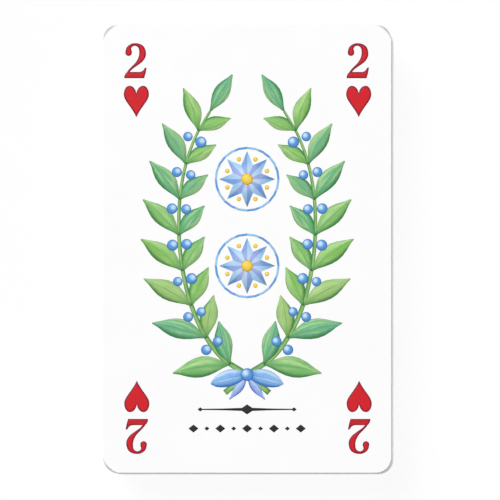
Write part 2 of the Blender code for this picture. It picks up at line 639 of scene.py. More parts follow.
def sweep(start, first, second, end, steps=6):
    """A cubic curve from start to end, drawn towards two guide points, without its last point. At t from 0
    to 1 the four points weigh (1 - t) ^ 3, 3 (1 - t) ^ 2 t, 3 (1 - t) t ^ 2 and t ^ 3."""
    t = np.linspace(0, 1, steps, endpoint=False)[:, None]
    start, first, second, end = (np.asarray(point, float) for point in (start, first, second, end))
    return (1 - t) ** 3 * start + 3 * (1 - t) ** 2 * t * first + 3 * (1 - t) * t**2 * second + t**3 * end


def both_sides(half):
    """A closed outline from its right half, which runs from the top middle to the bottom middle."""
    return np.concatenate([half, half[::-1][1:-1] * (-1, 1)])[::-1]


def draw_heart(high=SIGN_HIGH):
    """From the notch over the lobe, round its side and down to the point; the other half mirrors that."""
    lobe = sweep((0, -NOTCH), (0.12, -0.75), (0.6, 0), (LOBE_AT, 0))
    side = sweep((LOBE_AT, 0), (2.0, 0), (SIGN_HALF, -0.75), (SIGN_HALF, -BELLY))
    point = sweep((SIGN_HALF, -BELLY), (SIGN_HALF, -3.0), (0.95, -0.66 * high), (0, -high), steps=9)
    return both_sides(np.concatenate([lobe, side, point, [(0, -high)]]))


def flared_foot(top):
    """The foot of a spade or a club: a slim stalk that flares to a flat base."""
    low = -SIGN_HIGH
    flare = sweep((0.22, top), (0.3, (top + low) / 2), (0.45, low + 0.35), (FOOT_SPREAD, low))
    return both_sides(np.concatenate([[(0, top)], flare, [(FOOT_SPREAD, low), (0, low)]]))


def draw_spade():
    """A short heart turned over, on its foot."""
    leaf = draw_heart(SPADE_LEAF) * (1, -1) + (0, -SPADE_LEAF)
    return [leaf[::-1], flared_foot(-3.2)]


sign_outlines = {"hearts": [draw_heart()], "spades": draw_spade()}
print("signs drawn:", ", ".join(sign_outlines))

# %% [markdown]
# ## Clubs, diamonds and the jokers' star
#
# The club is three balls on the spade's foot, and the diamond has slightly hollow sides. A joker belongs to
# no suit and carries a plain star. Balls and curves are at hand by now; the star could be two lists of
# points, but one circle with two radii in turn gives any star, and the wreath's stars need it as well.

# %% Draw clubs, diamonds and a star
DIAMOND_HALF = 2.3
JOKER_STAR = (5, 2.6, 1.05)  # points, and the radius of their tips and of the notches between


def draw_club():
    """Three balls with a small one between them, on their foot."""
    lobes = ball(0, -1.32, 1.32) + ball(1.22, -3.45, 1.28) + ball(-1.22, -3.45, 1.28)
    return lobes + ball(0, -2.75, 0.62) + [flared_foot(-2.8)]


def draw_diamond():
    """A hollow side from the top to the right corner, and one on from there to the bottom."""
    corner = (DIAMOND_HALF, -SIGN_HIGH / 2)
    upper = sweep((0, 0), (0.65, -1.15), (1.5, -2.4), corner)
    lower = sweep(corner, (1.5, 2.4 - SIGN_HIGH), (0.65, 1.15 - SIGN_HIGH), (0, -SIGN_HIGH))
    return both_sides(np.concatenate([upper, lower, [(0, -SIGN_HIGH)]]))


def star_outline(points, outer, inner):
    """A star about the origin: the points of a circle, at the outer and the inner radius in turn."""
    return np.tile((outer, inner), points)[:, None] * circle(2 * points, math.pi / 2)


sign_outlines |= {"clubs": draw_club(), "diamonds": [draw_diamond()]}
sign_outlines["joker"] = [star_outline(*JOKER_STAR) + (0, -SIGN_HIGH / 2)]
print("signs drawn:", ", ".join(sign_outlines))

# %% [markdown]
# ## The index in the corner
#
# Numeral and sign stand in a column in all four corners, so that a hand can be fanned either way. The left
# and right columns of the upper end are the same way up, and half a turn of the card gives those of the lower
# end. Each shape is merged once for each ink and then only moved, since merging is the slow part.

# %% Build the indices
INDEX_X = 22.07
NUMERAL_TOP = 40.8
NUMERAL_ASIDE = -0.1
SIGN_TOP = 32.35
SIGN_ASIDE = 0.08
LOWER_NUMERAL_SHIFT = (0.07, 0.05)
LOWER_SIGN_SHIFT = (0.25, -0.1)
RED_SUITS = ("hearts", "diamonds")
INDEX_INKS = ("red", "black")


def card_words(name):
    """Rank, suit and ink of a card from its name. A joker has no rank."""
    if name.startswith("joker"):
        return None, "joker", name.removeprefix("joker_")
    rank, suit = name.split("_of_")
    return rank, suit, "red" if suit in RED_SUITS else "black"


def centred(outlines):
    """The outlines with the middle of their width at zero and their top at zero."""
    points = np.concatenate(outlines)
    middle = (points[:, 0].min() + points[:, 0].max()) / 2
    return [outline - (middle, points[:, 1].max()) for outline in outlines]


def in_both_inks(shapes):
    """Each named shape as a sheet of red ink and as a sheet of black ink."""
    return {(name, ink): ink_sheet(shapes[name], ink) for name in shapes for ink in INDEX_INKS}


def four_corners(patch, aside, top, lower_shift):
    """The patch in both upper corners, and both after half a turn of the card, a hair out of register."""
    upper = [moved(patch, shift=(side * INDEX_X + aside, top)) for side in (-1, 1)]
    return upper + [moved(corner, turn=math.pi, shift=lower_shift) for corner in upper]


rank_patches = in_both_inks({rank: centred(outlines) for rank, outlines in rank_outlines.items()})
sign_patches = in_both_inks(sign_outlines)


def index_patches(name):
    """Every numeral and sign of one card."""
    rank, suit, ink = card_words(name)
    signs = four_corners(sign_patches[suit, ink], SIGN_ASIDE, SIGN_TOP, LOWER_SIGN_SHIFT)
    if rank is None:
        return signs
    return signs + four_corners(rank_patches[rank, ink], NUMERAL_ASIDE, NUMERAL_TOP, LOWER_NUMERAL_SHIFT)


top_index_faces = sum(len(face) for patch in index_patches(top_card) for face in patch.faces)
print("faces in the top card's indices:", top_index_faces)

# %% [markdown]
# ## Ribbons, leaves and spots
#
# The middle of every face holds a laurel wreath, an ornament older than printing. Its leaves and stems could
# be painted by one large texture, but a leaf that is a shape of its own can carry its own wash of colour.
# Leaves and stems are ribbons: a left edge, a right edge and a midrib halfway between. The flat map of a
# ribbon runs along it and across it, which is what the watercolours further down follow. Berries are round
# spots, whose map is their own plane.

# %% Ribbons and spots
LEAF_STEPS = 8
LEAF_BELLY = 1.02
LEAF_TAPER = 1.15
LEAF_BLUNT = 0.12
SPOT_SIDES = 14


def ribbon(left, right, ink, layer, tone=0.0):
    """A slab between two edges with points halfway between them; u runs along it and v across it."""
    rows = len(left)
    flat = np.stack([right, (left + right) / 2, left], 1).reshape(-1, 2)
    u, v = np.meshgrid(np.linspace(0, 1, rows), (0.0, 0.5, 1.0), indexing="ij")
    corner = np.arange(3 * (rows - 1)).reshape(-1, 3)[:, :2].ravel()
    faces = np.column_stack([corner, corner + 3, corner + 4, corner + 1])
    return slab(flat, [faces], ink, layer, np.column_stack([u.ravel(), v.ravel()]), tone)


def leaf(length, width, bend, layer, tone, ink="leaf", taper=LEAF_TAPER):
    """A leaf from the origin along +Y. At a share s of its length it is sin(pi * s ^ belly) ^ taper of its
    full width, and its midrib has swung aside by bend times s squared."""
    s = np.linspace(0, 1, LEAF_STEPS + 1)
    swell = np.abs(np.sin(math.pi * s**LEAF_BELLY)) ** taper
    half = np.maximum(width / 2 * swell, LEAF_BLUNT)
    midrib = np.column_stack([bend * s**2, length * s])
    across = np.column_stack([half, np.zeros_like(s)])
    return ribbon(midrib - across, midrib + across, ink, layer, tone)


def rosette(outline, radius, ink, layer):
    """An outline of radius 1 at that radius, as triangles round its middle; its map is 0 to 1 across."""
    flat = np.vstack([(0, 0), radius * outline])
    ring = np.arange(1, len(flat))
    faces = np.column_stack([np.zeros_like(ring), ring, np.roll(ring, -1)])
    return slab(flat, [faces], ink, layer, flat / (2 * radius) + 0.5)


def disc(radius, ink, layer, sides=SPOT_SIDES):
    """A round spot about the origin."""
    return rosette(circle(sides), radius, ink, layer)


print("points in one leaf:", len(leaf(1.0, 0.5, 0.0, 1, 0.0).points))

# %% [markdown]
# ## The branches of the wreath
#
# Two branches cross at the foot and bend up into an oval that stays open at the top. A curve with a bevel
# could make the stems, but the leaves need to know where the stem is and which way it heads. So its route is
# worked out here, as a smooth curve through nine points that is read off at shares of its length. Only the
# right-hand branch is made; the other is its mirror image.

# %% Bend a branch
BRANCH_ROUTE = (
    (-4.4, -28.6), (0.0, -25.0), (5.4, -21.2), (10.2, -13.6), (13.0, -3.0),
    (13.5, 8.0), (12.1, 17.0), (9.7, 23.4), (7.4, 27.2),
)
ROUTE_STEPS = 40
BRANCH_WIDTHS = (1.15, 0.5)
STEM_ROWS = 12
STEM_STEPS = 4
STALK_LAYER, CROSSED_LAYER, LEAF_LAYER, UPPER_LEAF_LAYER, TOP_LAYER, KNOT_LAYER = range(FIRST_LAYER, 7)


def branch_at(shares):
    """Points and headings of the right-hand branch at shares of its length along a smooth curve."""
    x, y = through_points(BRANCH_ROUTE, ROUTE_STEPS).T
    run = np.concatenate([[0], np.cumsum(np.hypot(np.diff(x), np.diff(y)))])
    heading = np.unwrap(np.arctan2(np.gradient(y), np.gradient(x)))
    at = np.asarray(shares) * run[-1]
    points = np.column_stack([np.interp(at, run, x), np.interp(at, run, y)])
    return points, np.interp(at, run, heading)


def branch_stem(layer):
    """The stem of the right-hand branch, which gets thinner from its foot to its tip."""
    points, _ = branch_at(np.linspace(0, 1, STEM_ROWS))
    widths = np.linspace(*BRANCH_WIDTHS, STEM_ROWS)
    return ribbon(*pen_sides(np.column_stack([points, widths]), STEM_STEPS), "stem", layer)


stems = [branch_stem(STALK_LAYER), moved(branch_stem(CROSSED_LAYER), mirror=-1.0)]
print("points in each stem:", len(stems[0].points))

# %% [markdown]
# ## Leaves and berries
#
# Laurel leaves stand in pairs along each branch, the outer ones longer, and all get smaller towards the tip.
# Blue berries sit between the pairs. The leaves' tones and the berries' sizes could be drawn at random. Here
# they step by the golden ratio, so that neighbours never match and every run gives the same wreath.

# %% Grow the leaves
LEAF_PAIRS = 8
FIRST_PAIR = 0.15
LAST_PAIR = 0.93
OUTER_LEAF = (12.0, 4.4)
INNER_LEAF = (9.2, 3.9)
LEAF_LEAN = math.radians(34)
LEAF_BEND = 0.13
TIP_SHRINK = 0.28
BERRY_RADIUS = 1.15
BERRY_SHRINK = 0.2  # of the radius, for the smallest berry
BERRY_ASIDE = 1.4
BERRY_SHARE = 0.74  # of the way from one pair of leaves to the next
GOLDEN = 0.618


def branch_leaves():
    """The leaves of the right-hand branch, pair by pair, with one more at its tip."""
    shares = np.linspace(FIRST_PAIR, LAST_PAIR, LEAF_PAIRS)
    leaves = []
    for number, (point, heading, share) in enumerate(zip(*branch_at(shares), shares)):
        size = 1 - TIP_SHRINK * share
        layer = (LEAF_LAYER, UPPER_LEAF_LAYER)[number % 2]
        for side, (length, width) in ((-1, OUTER_LEAF), (1, INNER_LEAF)):
            tone = GOLDEN * (2 * number + side) % 1
            shape = leaf(size * length, size * width, -side * LEAF_BEND * length, layer, tone)
            leaves.append(moved(shape, heading - math.pi / 2 + side * LEAF_LEAN, point))
    (tip,), (heading,) = branch_at([1.0])
    length, width = (1 - TIP_SHRINK) * np.array(OUTER_LEAF)
    return leaves + [moved(leaf(length, width, 0.0, LEAF_LAYER, GOLDEN), heading - math.pi / 2, tip)]


def branch_berries():
    """A berry on each side of the branch, a little before each next pair of leaves."""
    step = (LAST_PAIR - FIRST_PAIR) / (LEAF_PAIRS - 1)
    shares = FIRST_PAIR + step * (np.arange(LEAF_PAIRS - 1) + BERRY_SHARE)
    berries = []
    for number, (point, heading) in enumerate(zip(*branch_at(shares))):
        for side in (-1, 1):
            aside = heading + side * math.pi / 2
            spot = point + BERRY_ASIDE * np.array([math.cos(aside), math.sin(aside)])
            share = GOLDEN * (2 * number + side) % 1
            berry = disc(BERRY_RADIUS * (1 - BERRY_SHRINK * share), "berry", TOP_LAYER)
            berries.append(moved(berry, shift=spot))
    return berries


branch = [*branch_leaves(), *branch_berries()]
print("leaves and berries on a branch:", len(branch))

# %% [markdown]
# ## The bow
#
# A blue ribbon ties the branches where they cross. Its loops and tails are leaves with another ink, the loops
# with rounder ends, because a leaf's surface already swells and bends as a flat bow does. A round knot lies
# on top of them.

# %% Tie the bow
CROSSING = BRANCH_ROUTE[1]
BOW_LOOP = (7.4, 3.4, 0.9)  # length, width and bend
BOW_TAIL = (6.0, 1.7, -0.8)
BOW_LOOP_TURN = math.radians(97)
BOW_TAIL_TURN = math.radians(152)
LOOP_TAPER = 0.62  # rounder at its ends than a leaf
LOOP_TONE = 0.2
TAIL_TONE = 0.7
KNOT_RADIUS = 1.3


def bow():
    """The right half of a ribbon's bow: a loop to the side and a tail below it."""
    loop = leaf(*BOW_LOOP, TOP_LAYER, LOOP_TONE, "ribbon", LOOP_TAPER)
    tail = leaf(*BOW_TAIL, UPPER_LEAF_LAYER, TAIL_TONE, "ribbon")
    return [moved(loop, -BOW_LOOP_TURN, CROSSING), moved(tail, -BOW_TAIL_TURN, CROSSING)]


knot = moved(disc(KNOT_RADIUS, "berry", KNOT_LAYER), shift=CROSSING)
right_half = [*branch, *bow()]
left_half = [moved(patch, mirror=-1.0) for patch in right_half]
wreath = [*stems, *right_half, *left_half, knot]
wreath_points = np.concatenate([patch.points for patch in wreath])
print("wreath:", len(wreath), "shapes,", np.ptp(wreath_points, axis=0)[:2].round(1), "mm")

# %% [markdown]
# ## A tile star
#
# Inside the wreath stand blue eight-pointed stars, which quilts and floor tiles have used for centuries. Each
# point has a light and a dark half, a yellow eye sits in the middle, a thin ring runs round the star, and a
# yellow spark fills each notch. The halves could be sixteen patches. Here the star is one patch whose map is
# its own plane, so that its wash can tell the halves apart by the angle.

# %% Draw a star
STAR_POINTS = 8
STAR_WAIST = 0.54
EYE_SHARE = 0.22
SPARK_SHARE = 0.085
SPARK_AT = 0.76
SPARK_SIDES = 8
HOOP_SHARES = (1.07, 1.15)
HOOP_SIDES = 24


def hoop(inner, outer):
    """A flat ring about the origin, as four-sided faces from its inner to its outer circle."""
    here = np.arange(HOOP_SIDES)
    after = np.roll(here, -1)
    faces = np.column_stack([here + HOOP_SIDES, after + HOOP_SIDES, after, here])
    flat = np.vstack([inner * circle(HOOP_SIDES), outer * circle(HOOP_SIDES)])
    return slab(flat, [faces], "star", STALK_LAYER, flat / (2 * outer) + 0.5)


def star(radius):
    """A star of triangles about its middle, its eye, its ring and its sparks."""
    body = rosette(star_outline(STAR_POINTS, 1.0, STAR_WAIST), radius, "star", STALK_LAYER)
    eye = disc(EYE_SHARE * radius, "ochre", CROSSED_LAYER, STAR_POINTS)
    ring = hoop(*(share * radius for share in HOOP_SHARES))
    spark = disc(SPARK_SHARE * radius, "ochre", STALK_LAYER, SPARK_SIDES)
    notches = SPARK_AT * radius * circle(STAR_POINTS, math.pi / 2 + math.pi / STAR_POINTS)
    return [body, eye, ring, *(moved(spark, shift=notch) for notch in notches)]


print("shapes in a star:", len(star(1.0)))

# %% [markdown]
# ## Stars that count the rank
#
# The stars count the rank in the old layout of pips: two for the two, ten for the ten. Jack, queen and king
# carry one large star in a ring of eleven, twelve or thirteen berries, and a joker one large star alone.
# Every place could be listed, but only the stars down the middle need a list: the rest stand in two even
# columns, whose rows follow from their number.

# %% Place the stars
STARS_MIDDLE = 5.2
COLUMN_X = 3.9
ROW_Y = 11.6
PAIR_Y = 8.6  # for the two, whose stars are larger
LARGE_STAR = 6.3
COURT_STAR = 4.9
COURT_RING = 7.0
COURT_BERRY = 0.75
STAR_RADII = {1: LARGE_STAR, 2: 5.6, 3: 4.5, 4: 3.1, 5: 3.1, 6: 3.1, 7: 2.9, 8: 2.9, 9: 2.3, 10: 2.3}
MIDDLE_STARS = {  # as shares of the way from the middle to an end row
    1: (0,), 2: (-1, 1), 3: (-1, 0, 1), 5: (0,), 7: (0.5,), 8: (-0.5, 0.5), 9: (0,), 10: (-2 / 3, 2 / 3),
}


def star_places(count):
    """Places for this many stars, as shares of the way to a column and to an end row: first those down the
    middle, then both columns."""
    middle = [(0, y) for y in MIDDLE_STARS.get(count, ())]
    rows = np.linspace(-1, 1, (count - len(middle)) // 2)
    return middle + [(x, y) for x in (-1, 1) for y in rows]


def face_stars(name):
    """All the stars and court berries of one card. A joker counts as nought."""
    number = rank_numbers.get(card_words(name)[0], 0)
    if number in STAR_RADII:
        row = PAIR_Y if number == 2 else ROW_Y
        shifts = [(COLUMN_X * x, STARS_MIDDLE + row * y) for x, y in star_places(number)]
        return [moved(patch, shift=shift) for shift in shifts for patch in star(STAR_RADII[number])]
    middle = (0.0, STARS_MIDDLE)
    large = [moved(patch, shift=middle) for patch in star(COURT_STAR if number else LARGE_STAR)]
    ring = COURT_RING * circle(number, math.pi / 2) + middle
    return large + [moved(disc(COURT_BERRY, "berry", TOP_LAYER), shift=spot) for spot in ring]


print("shapes in the top card's stars:", len(face_stars(top_card)))

# %% [markdown]
# ## Printer's rules under the wreath
#
# Between the lower indices stand two ornaments from a printer's tray, a rule that swells to a lozenge in its
# middle and a row of small lozenges, in the same dark ink as the black suits. A texture could draw them. Pen
# strokes and merged outlines serve here too, so that the rules get the same dark edge as the numerals.

# %% Draw the rules
RULE_Y = -31.9
RULE_LONG = 18.6
RULE_WIDTHS = {-1.0: 0.14, -0.5: 0.26, 0.0: 0.55, 0.5: 0.26, 1.0: 0.14}  # at shares of its half length
RULE_MIDDLE = (1.5, 1.0)  # half width and half height, as for the other lozenges
RULE_TIP = (0.55, 0.42)
ROW_OF_LOZENGES_Y = -35.7
ROW_LONG = 23.3
LOZENGES = 9
LARGE_LOZENGE = (1.0, 0.8)
SMALL_LOZENGE = (0.5, 0.42)


def lozenge(x, y, half_wide, half_high):
    """A small diamond."""
    return [np.array([(x - half_wide, y), (x, y - half_high), (x + half_wide, y), (x, y + half_high)])]


def swelled_rule():
    """A hairline that swells towards its middle, with a lozenge there and one at each end."""
    half = RULE_LONG / 2
    line = pen(*((share * half, RULE_Y, width) for share, width in RULE_WIDTHS.items()))
    tips = lozenge(-half, RULE_Y, *RULE_TIP) + lozenge(half, RULE_Y, *RULE_TIP)
    return ink_sheet(line + lozenge(0, RULE_Y, *RULE_MIDDLE) + tips, "black")


def lozenge_row():
    """Lozenges in a row, large and small in turn."""
    reach = ROW_LONG / 2 - LARGE_LOZENGE[0]
    middles = np.linspace(-reach, reach, LOZENGES)
    sizes = [(LARGE_LOZENGE, SMALL_LOZENGE)[number % 2] for number in range(LOZENGES)]
    return [ink_sheet(lozenge(x, ROW_OF_LOZENGES_Y, *size), "black") for x, size in zip(middles, sizes)]


rules = [swelled_rule(), *lozenge_row()]
print("rules:", len(rules), "shapes")

# %% [markdown]
# ## Painted shade at the corners
#
# A thin grey line of shade is painted along the rounded corners, where a soft shadow would hug the card.
# The stock's own material could be painted there, but all the cards share it. So a sliver along three
# corners of the top card carries that painted shade; past the fourth, at the lower right, the edges of the
# cards below already show in real shade. Its outer line is the card's own outline, and its tone fades from
# there inwards and towards both ends of the arc.

# %% Paint shade along the corners
# painted shade: a grey sliver along three corners of the top card, where a soft shadow would hug the edge
CORNER_SHADE_MM = 0.45
CORNER_SHADE_LEAST = 0.02
CORNER_SHADE_FADE = 0.8
CORNER_SHADE_ACROSS = (1.0, 0.5, 0.0)  # the tone's fall from the outline to the inner line
SAME_MM = 0.01
OUTLINE_DIGITS = 6


def corner_arc():
    """The upper right corner of the top card's outline: its points in order, and the middle of their arc."""
    middle, _ = places[top_card]
    outline = np.unique((corner_points(top_card) - middle)[:, :2].round(OUTLINE_DIGITS), axis=0) / MM
    on_right = outline[:, 0] > half_width - SAME_MM
    radius = half_length - outline[on_right, 1].max()
    centre = np.array([half_width, half_length]) - radius
    arc = outline[(outline > centre - SAME_MM).all(1)]
    return arc[np.argsort(arc[:, 1] - arc[:, 0])], centre


def corner_shade_sliver():
    """A sliver of painted shade inside the corner's arc: at a share s of the way round, its width and tone
    are sin(pi * s) ^ fade of their full value. Its tone falls to nothing at its inner line."""
    arc, centre = corner_arc()
    share = np.sin(math.pi * np.linspace(0, 1, len(arc))) ** CORNER_SHADE_FADE
    inward = (centre - arc) / np.linalg.norm(centre - arc, axis=1)[:, None]
    inner = arc + np.maximum(CORNER_SHADE_MM * share, CORNER_SHADE_LEAST)[:, None] * inward
    return ribbon(inner, arc, "rub", STALK_LAYER, np.outer(share, CORNER_SHADE_ACROSS).ravel())


# painted shade on three corners of the top card, none at the lower right
upper_right = corner_shade_sliver()
shade_slivers = [upper_right, moved(upper_right, mirror=-1.0), moved(upper_right, turn=math.pi)]
print("rubbed corners:", len(shade_slivers))

# %% [markdown]
# ## The back
#
# Backs are printed with an all-over pattern inside a white border, alike on every card and alike either way
# up, so that no card can be told from behind. A lattice of strips would be hundreds of faces on every card,
# so one round-cornered panel takes the lattice by its material.

# %% The back panel
BACK_BORDER = 3.6
BACK_CORNER = 2.0
CORNER_POINTS = 6
BACK_NEAR = 0.001  # how far below the card the plate begins, and how far below it ends
BACK_FAR = 0.003


def back_panel():
    """A round-cornered plate under the card: a quarter circle at each corner, mapped in millimetres."""
    quarter = BACK_CORNER * circle(4 * (CORNER_POINTS - 1))[:CORNER_POINTS]
    corner = quarter + (np.array([half_width, half_length]) - BACK_BORDER - BACK_CORNER)
    outline = np.concatenate([corner, corner[::-1] * (-1, 1), -corner, corner[::-1] * (1, -1)])
    count = len(outline)
    plate = slab(outline, [np.arange(count)[None]], "back", FIRST_LAYER, outline)
    depth = -thickness / MM - np.repeat((BACK_FAR, BACK_NEAR), count)
    return plate._replace(points=np.column_stack([plate.points[:, :2], depth]))


back = back_panel()
print("back panel:", np.ptp(back.points, axis=0)[:2].round(2), "mm")

# %% [markdown]
# ## Index ink
#
# The numerals, signs and rules are solid offset ink. It is thin and lies flat, so it takes the sheen of the
# coating under it. It is darkest along its edge, where the press squeezed it out, and faintly cloudy inside.
# The edge could be found by the shader, but the points already carry how near to it they lie.

# %% Red and black ink
INDEX_REDS = ("#D3212A", "#CD1D27", "#851A2D")  # inside, in its clouds and along its edge
INDEX_BLACKS = ("#262626", "#2C2B2B", "#1A1A1A")
INK_SOCKETS = {"Roughness": 0.5, "IOR": 1.47, "Specular IOR Level": 0.2}
CLOUD_MM = 0.9
CLOUDS = {"Scale": 1 / (CLOUD_MM * MM), "Detail": 2.0}
FULL_EDGE = 0.7  # the tone from which the ink is as dark as at its edge


def index_ink(add, inside, cloud, edge):
    """Solid ink: a slow noise between two near tones, and the edge tone where a point's tone is high."""
    clouds = add("TexNoise", {"Vector": add("TexCoord").outputs["Object"], **CLOUDS})
    solid = add("Mix", {"Factor": clouds, "A": inside, "B": cloud}, data_type="RGBA")
    near_edge = add("Attribute", attribute_name="tone").outputs["Fac"]
    darkened = add("MapRange", {"Value": near_edge, "From Max": FULL_EDGE})
    squeezed = add("Mix", {"Factor": darkened, "A": solid, "B": edge}, data_type="RGBA")
    return {"Base Color": squeezed}


inks = {
    "red": new_finish("red_offset_ink", INK_SOCKETS, index_ink, *INDEX_REDS),
    "black": new_finish("black_offset_ink", INK_SOCKETS, index_ink, *INDEX_BLACKS),
}
print("index inks:", ", ".join(inks))

# %% [markdown]
# ## Stock with painted shade
#
# Along the corner slivers the stock's white is mixed with grey, as painted shade. The grey could come
# from a noise, but here each point's tone says how dark it is.

# %% Stock with painted shade
# grey of the painted shade along the top card's corners
CORNER_SHADE_GREY = "#8A8A89"


def corner_shaded_stock(add):
    """The white of the stock, mixed with grey painted shade by the point's tone."""
    painted_shade = add("Attribute", attribute_name="tone").outputs["Fac"]
    greyed = add("Mix", {"Factor": painted_shade, "A": FACE_WHITE, "B": CORNER_SHADE_GREY}, data_type="RGBA")
    return {"Base Color": greyed, "Roughness": FACE_ROUGHNESS}


# material of the painted corner shade
inks["rub"] = new_finish("corner_shaded_card_stock", STOCK_SOCKETS, corner_shaded_stock)
print("inks so far:", ", ".join(inks))

# %% [markdown]
# ## Watercolour leaves and ribbon
#
# The wreath is printed from a watercolour. A wash of watercolour is never even: pigment drifts towards the
# edge as it dries and leaves a darker line there, the wash pales where the brush was wettest, and one green
# runs into another. A noise over the whole card would ignore the leaves. These washes follow each leaf's own
# map instead: streaks of the brush run along it, and deep colour gathers at its foot, along its midrib and
# along its outline. The ribbon of the bow is the same wash in blues.

# %% Leaf and ribbon washes
LEAF_GREENS = ("#4A8F52", "#86BF61", "#64B08B", "#B7CF62", "#B5DA97")  # deep, warm, cool, fresh and pale
RIBBON_BLUES = ("#3C78CF", "#7FB4EA", "#8FA9E6", "#B4B5E8", "#CBE4F8")
STREAKS = (1.8, 5.0, 13.0)  # along the leaf, across it, and from leaf to leaf
STREAK_DETAIL = 4.0
LIGHT_SIDE = 0.14  # how far light and shade lean to one side of the midrib
COOL_TONES = {"From Min": 0.25, "From Max": 0.65}
FRESH_TONES = {"From Min": 0.78, "From Max": 0.9}
LIFT = {"From Min": 0.42, "From Max": 0.72, "To Max": 0.85}
FOOT_SHADE = {"From Min": 0.38, "From Max": 0.0, "To Max": 0.75}
OUTLINE_SHADE = {"From Min": 0.66, "From Max": 1.05, "To Max": 0.9}
RIB_SHADE = {"From Min": 0.1, "From Max": 0.0, "To Max": 0.55}


def brush_wash(add, deep, warm, cool, fresh, pale):
    """A leaf's wash. Its tone picks warm, cool or fresh; streaks along it lift it to pale, more on its light
    side; and deep colour lies at its foot, along its midrib and along its outline."""
    flat = add("SeparateXYZ", {0: add("TexCoord").outputs["UV"]}).outputs
    tone = add("Attribute", attribute_name="tone").outputs["Fac"]
    spread = add("CombineXYZ", {0: flat["X"], 1: flat["Y"], 2: tone})
    brush = add("VectorMath", {0: spread, 1: STREAKS}, operation="MULTIPLY")
    streak = add("TexNoise", {"Vector": brush, "Scale": 1.0, "Detail": STREAK_DETAIL})
    ground = warm
    for colour, tones in ((cool, COOL_TONES), (fresh, FRESH_TONES)):
        share = add("MapRange", {"Value": tone, **tones})
        ground = add("Mix", {"Factor": share, "A": ground, "B": colour}, data_type="RGBA")
    aside = add("Math", {0: flat["Y"], 1: 2.0, 2: -1.0}, operation="MULTIPLY_ADD")
    lean = add("Math", {0: aside, 1: LIGHT_SIDE, 2: streak}, operation="MULTIPLY_ADD")
    lift = add("MapRange", {"Value": lean, **LIFT}, interpolation_type="SMOOTHSTEP")
    washed = add("Mix", {"Factor": lift, "A": ground, "B": pale}, data_type="RGBA")
    across = add("Math", {0: aside}, operation="ABSOLUTE")
    offset = add("Math", {0: aside, 1: LIGHT_SIDE}, operation="SUBTRACT")
    outward = add("Math", {0: offset}, operation="ABSOLUTE")
    dark = 0.0
    for way, shade in ((flat["X"], FOOT_SHADE), (across, RIB_SHADE), (outward, OUTLINE_SHADE)):
        here = add("MapRange", {"Value": way, **shade}, interpolation_type="SMOOTHSTEP")
        dark = add("Math", {0: here, 1: dark}, operation="MAXIMUM")
    painted = add("Mix", {"Factor": dark, "A": washed, "B": deep}, data_type="RGBA")
    return {"Base Color": painted}


inks["leaf"] = new_finish("watercolour_green_leaf", INK_SOCKETS, brush_wash, *LEAF_GREENS)
inks["ribbon"] = new_finish("watercolour_blue_ribbon", INK_SOCKETS, brush_wash, *RIBBON_BLUES)
print("inks so far:", ", ".join(inks))

# %% [markdown]
# ## Watercolour stems
#
# A stem is too slim for streaks. It is a light green that darkens to both sides, as a round stalk does, with
# the light a little off its middle, and a slow noise breaks the wash up along the way.

# %% Stem wash
STEM_LIGHT = "#9CC873"
STEM_DARK = "#4E8F4E"
STEM_LIT_AT = 0.4  # of the way across
STEM_ROUND = 1.6
STEM_SHADE = {"From Min": 0.45, "From Max": 1.25}
WASH_MM = 1.6  # from one drift of pigment to the next
WASH = {"Scale": 1 / (WASH_MM * MM), "Detail": 3.0}


def stem_wash(add):
    """Green with a light middle and darker sides, broken up by the wash."""
    place = add("TexCoord").outputs
    flat = add("SeparateXYZ", {0: place["UV"]}).outputs
    wash = add("TexNoise", {"Vector": place["Object"], **WASH})
    aside = add("Math", {0: flat["Y"], 1: STEM_LIT_AT}, operation="SUBTRACT")
    across = add("Math", {0: aside}, operation="ABSOLUTE")
    shade = add("Math", {0: across, 1: STEM_ROUND, 2: wash}, operation="MULTIPLY_ADD")
    dark = add("MapRange", {"Value": shade, **STEM_SHADE})
    green = add("Mix", {"Factor": dark, "A": STEM_LIGHT, "B": STEM_DARK}, data_type="RGBA")
    return {"Base Color": green}


inks["stem"] = new_finish("watercolour_green_stem", INK_SOCKETS, stem_wash)
print("inks so far:", ", ".join(inks))

# %% [markdown]
# ## Watercolour stars
#
# A star's points are half pale blue and half violet, and both turn to a stronger blue towards the tips, as a
# painter would lay one wet colour into another. The halves could be two materials. One is enough, as it tells
# them apart by the angle about the star's middle, and it reads the star's own plane, so that it serves at
# every size.

# %% Star wash
BLUE_PALE = "#C4E1F7"
BLUE_LIGHT = "#93C4EE"
BLUE_MIDDLE = "#5E9FE0"
VIOLET = "#B4B5E8"
MAP_MIDDLE = (0.5, 0.5, 0.0)
TIP_PULL = 1.4  # how much the way out to a tip counts beside the wash
TIP_SHADE = {"From Min": 0.55, "From Max": 1.2}


